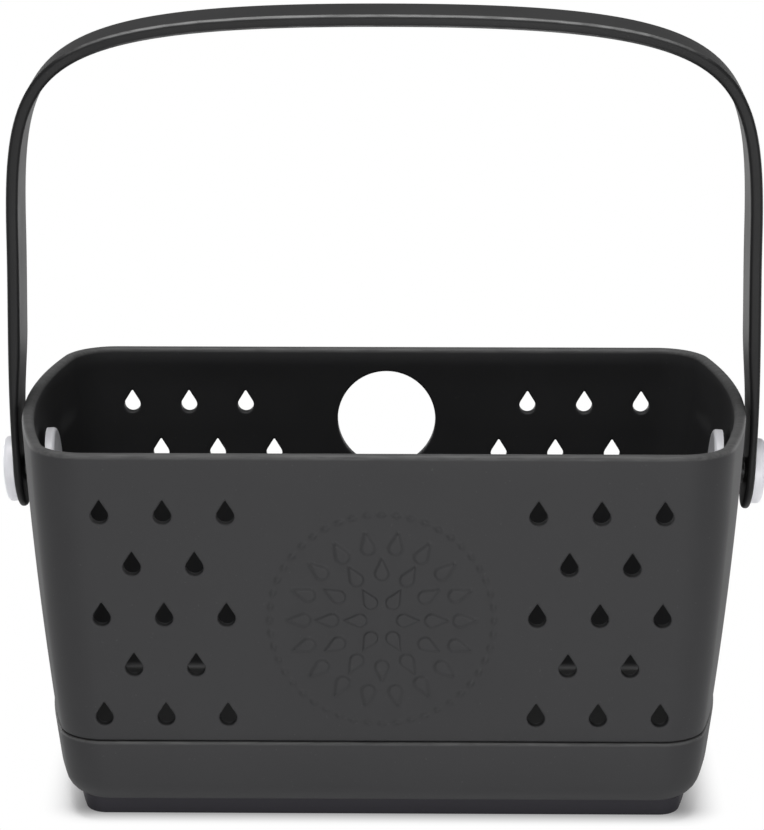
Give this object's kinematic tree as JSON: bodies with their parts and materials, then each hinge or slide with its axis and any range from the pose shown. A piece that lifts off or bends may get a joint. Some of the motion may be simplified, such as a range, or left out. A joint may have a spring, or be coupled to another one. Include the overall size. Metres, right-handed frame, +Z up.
{
  "type": "bath caddy",
  "caption": "Tapered open basket in moulded foam with drop-shaped drain holes, a round grip hole in the back wall and a strap handle that swings on snap rivets.",
  "frame": {"origin": "on the ground under the middle of the basket", "axes": "+X to the right seen from the front, +Y to the back wall with the grip hole, +Z up"},
  "size_m": [0.326, 0.1838, 0.3302],
  "materials": {
    "foam": "matte moulded foam skin, charcoal",
    "sole_foam": "matte, darker charcoal",
    "rivet_plastic": "satin white"
  },
  "bodies": {
    "basket": {"basket_shell": "foam", "base_cup": "foam", "non_slip_sole": "sole_foam"},
    "handle": {"handle_strap": "foam", "rivet_button_right": "rivet_plastic", "rivet_cap_right": "rivet_plastic", "rivet_button_left": "rivet_plastic", "rivet_cap_left": "rivet_plastic"}
  },
  "joints": [
    {"name": "handle_swing", "type": "hinge", "parent": "basket", "child": "handle", "pos_m": [0, 0, 0.132], "axis": [1, 0, 0], "range_deg": [-125, 125]}
  ]
}
